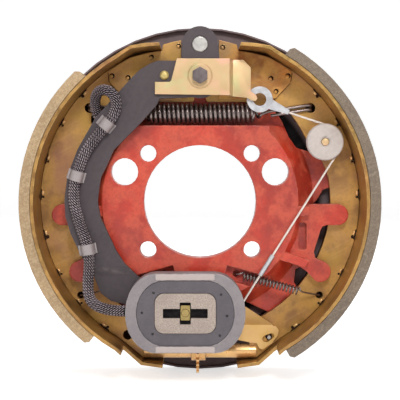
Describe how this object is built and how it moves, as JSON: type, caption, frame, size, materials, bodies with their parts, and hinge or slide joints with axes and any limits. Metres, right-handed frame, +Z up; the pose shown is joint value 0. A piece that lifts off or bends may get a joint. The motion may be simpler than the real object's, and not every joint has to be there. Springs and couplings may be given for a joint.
{
  "type": "electric trailer brake assembly",
  "caption": "Electric drum brake for a trailer axle: cast spider, dust shield, lined shoes, swinging lever with electromagnet, springs and a cable-driven self-adjuster.",
  "frame": {"origin": "centre of the spider's bore in its rear mounting face, which bolts to the axle's brake flange", "axes": "+Y along the axle towards the vehicle's centre, so the open, magnet side faces -Y; +Z up through the anchor post; +X to the right seen from the open side"},
  "size_m": [0.3184, 0.1257, 0.3184],
  "materials": {
    "backing_spider": "red paint over cast iron",
    "dust_shield": "black paint on sheet",
    "adjuster_plug_1": "moulded rubber",
    "adjuster_plug_2": "moulded rubber",
    "shield_screw_1": "bare steel",
    "shield_screw_2": "bare steel",
    "shield_screw_3": "bare steel",
    "shield_screw_4": "bare steel",
    "lead_grommet": "moulded rubber",
    "anchor_post": "bare steel",
    "anchor_nut": "bare steel",
    "anchor_bolt": "bare steel",
    "anchor_washer": "pale zinc plate",
    "cable_bracket": "pale zinc plate",
    "cable_eyelet": "bare steel",
    "adjuster_cable": "bare steel",
    "cable_ferrule": "bare steel",
    "retractor_spring": "black spring wire",
    "hold_spring_left": "black spring wire",
    "hold_spring_right": "black spring wire",
    "adjuster_spring": "black spring wire",
    "adjuster_nut": "yellow zinc plate",
    "adjuster_socket": "yellow zinc plate",
    "lead_tail": "braided sleeve over wires",
    "lead_wire_1": "moulded rubber",
    "lead_wire_2": "moulded rubber",
    "lever_arm": "black coated steel",
    "lever_cam": "bare steel",
    "cam_pin": "bare steel",
    "stop_rivet": "yellow plated",
    "magnet_post": "bare steel",
    "magnet_clip": "yellow plated",
    "magnet_spring": "bare steel",
    "lead_sleeve": "braided sleeve over wires",
    "wire_clip_1": "bare steel",
    "wire_clip_2": "bare steel",
    "wire_clip_3": "bare steel",
    "magnet_case": "dark coated steel",
    "magnet_potting": "potting resin",
    "magnet_core": "sintered core",
    "primary_table": "yellow zinc plate",
    "primary_web": "yellow zinc plate",
    "primary_doubler": "yellow zinc plate",
    "primary_lining": "moulded friction material",
    "secondary_table": "yellow zinc plate",
    "secondary_web": "yellow zinc plate",
    "secondary_doubler": "yellow zinc plate",
    "secondary_lining": "moulded friction material",
    "pulley_stud": "pale zinc plate",
    "pawl_pin": "bare steel",
    "cable_pulley": "moulded nylon",
    "adjuster_pawl": "pale zinc plate",
    "adjuster_screw": "yellow zinc plate"
  },
  "bodies": {
    "brake_base": {"backing_spider": "backing_spider", "dust_shield": "dust_shield", "adjuster_plug_1": "adjuster_plug_1", "adjuster_plug_2": "adjuster_plug_2", "shield_screw_1": "shield_screw_1", "shield_screw_2": "shield_screw_2", "shield_screw_3": "shield_screw_3", "shield_screw_4": "shield_screw_4", "lead_grommet": "lead_grommet", "anchor_post": "anchor_post", "anchor_nut": "anchor_nut", "anchor_bolt": "anchor_bolt", "anchor_washer": "anchor_washer", "cable_bracket": "cable_bracket", "cable_eyelet": "cable_eyelet", "adjuster_cable": "adjuster_cable", "cable_ferrule": "cable_ferrule", "retractor_spring": "retractor_spring", "hold_spring_left": "hold_spring_left", "hold_spring_right": "hold_spring_right", "adjuster_spring": "adjuster_spring", "adjuster_nut": "adjuster_nut", "adjuster_socket": "adjuster_socket", "lead_tail": "lead_tail", "lead_wire_1": "lead_wire_1", "lead_wire_2": "lead_wire_2"},
    "lever": {"lever_arm": "lever_arm", "lever_cam": "lever_cam", "cam_pin": "cam_pin", "stop_rivet": "stop_rivet", "magnet_post": "magnet_post", "magnet_clip": "magnet_clip", "magnet_spring": "magnet_spring", "lead_sleeve": "lead_sleeve", "wire_clip_1": "wire_clip_1", "wire_clip_2": "wire_clip_2", "wire_clip_3": "wire_clip_3"},
    "magnet": {"magnet_case": "magnet_case", "magnet_potting": "magnet_potting", "magnet_core": "magnet_core"},
    "primary_shoe": {"primary_table": "primary_table", "primary_web": "primary_web", "primary_doubler": "primary_doubler", "primary_lining": "primary_lining"},
    "secondary_shoe": {"secondary_table": "secondary_table", "secondary_web": "secondary_web", "secondary_doubler": "secondary_doubler", "secondary_lining": "secondary_lining", "pulley_stud": "pulley_stud", "pawl_pin": "pawl_pin"},
    "pulley": {"cable_pulley": "cable_pulley"},
    "pawl": {"adjuster_pawl": "adjuster_pawl"},
    "star_wheel": {"adjuster_screw": "adjuster_screw"}
  },
  "joints": [
    {"name": "lever_pivot", "type": "hinge", "parent": "brake_base", "child": "lever", "pos_m": [0, -0.024, 0.109], "axis": [0, -1, 0], "range_deg": [0, 3], "stiffness_Nm_per_rad": 40, "springref_deg": -5.73, "deforming": ["lead_tail"]},
    {"name": "magnet_slide", "type": "slide", "parent": "lever", "child": "magnet", "axis": [0, 1, 0], "range_m": [0, 0.003], "stiffness_N_per_m": 1500, "springref_m": -0.004, "deforming": ["magnet_spring"]},
    {"name": "primary_shoe_pivot", "type": "hinge", "parent": "brake_base", "child": "primary_shoe", "pos_m": [-0.047, 0.008, -0.1345], "axis": [0, -1, 0], "range_deg": [0, 0.3], "deforming": ["retractor_spring", "hold_spring_left", "adjuster_spring"]},
    {"name": "secondary_shoe_pivot", "type": "hinge", "parent": "brake_base", "child": "secondary_shoe", "pos_m": [0.047, 0.008, -0.1345], "axis": [0, 1, 0], "range_deg": [0, 0.3], "deforming": ["retractor_spring", "hold_spring_right", "adjuster_spring", "adjuster_cable"]},
    {"name": "pulley_spin", "type": "hinge", "parent": "secondary_shoe", "child": "pulley", "pos_m": [0.1093, -0.013, 0.0521], "axis": [0, 1, 0], "continuous": true},
    {"name": "pawl_pivot", "type": "hinge", "parent": "secondary_shoe", "child": "pawl", "pos_m": [0.0614, 0.0013, -0.1215], "axis": [0, 1, 0], "range_deg": [0, 8], "deforming": ["adjuster_cable"]},
    {"name": "star_wheel_turn", "type": "hinge", "parent": "brake_base", "child": "star_wheel", "pos_m": [-0.0021, 0.008, -0.1345], "axis": [1, 0, 0], "continuous": true}
  ],
  "couplings": [
    {"joint": "primary_shoe_pivot", "follows": "lever_pivot", "ratio": 0.1},
    {"joint": "secondary_shoe_pivot", "follows": "lever_pivot", "ratio": 0.1}
  ]
}
